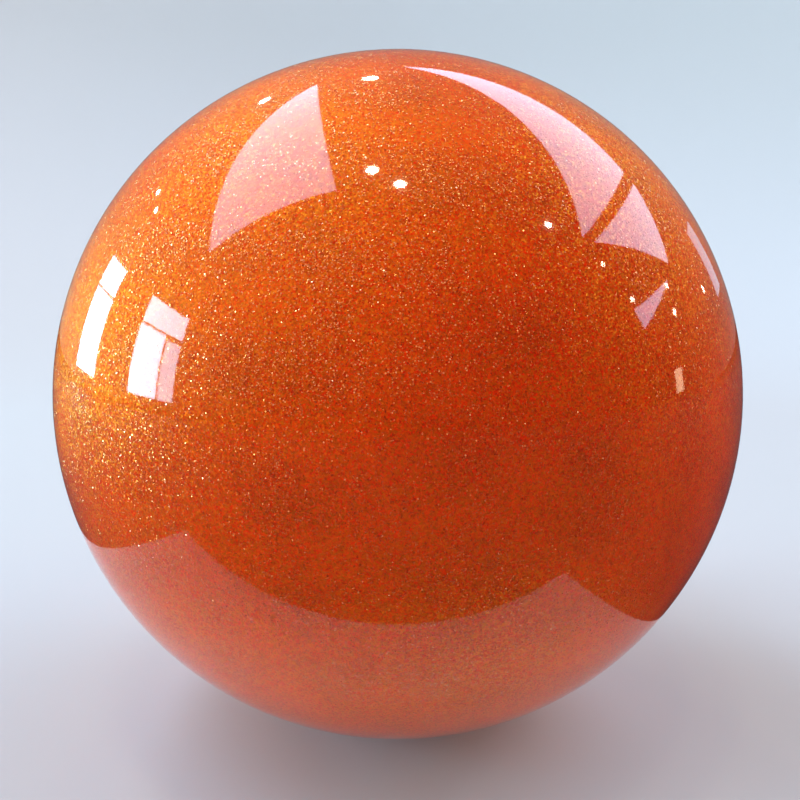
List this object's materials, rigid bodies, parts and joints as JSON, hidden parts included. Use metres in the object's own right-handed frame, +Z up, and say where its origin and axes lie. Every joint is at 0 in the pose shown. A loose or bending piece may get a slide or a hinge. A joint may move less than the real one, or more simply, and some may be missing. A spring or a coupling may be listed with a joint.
{
  "type": "juggling ball",
  "caption": "Large hollow glitter ball for juggling, spinning and body rolling, with a clear glossy skin, an air valve and a pull-out plug.",
  "frame": {"origin": "centre of the ball", "axes": "+Y out of the ball along the valve's axis, +Z up"},
  "size_m": [0.185, 0.185, 0.185],
  "materials": {
    "clear_vinyl": "clear, slightly orange, mirror gloss",
    "glitter": "gold flakes in clear binder over orange",
    "orange_vinyl": "smooth moulded orange vinyl",
    "valve_vinyl": "satin soft vinyl",
    "plug_plastic": "satin moulded plastic"
  },
  "bodies": {
    "ball": {"clear_skin": "clear_vinyl", "glitter_layer": "glitter", "inner_wall": "orange_vinyl", "valve_body": "valve_vinyl"},
    "plug": {"valve_plug": "plug_plastic"}
  },
  "joints": [
    {"name": "plug_pull", "type": "slide", "parent": "ball", "child": "plug", "axis": [0, 1, 0], "range_m": [0, 0.02]}
  ]
}
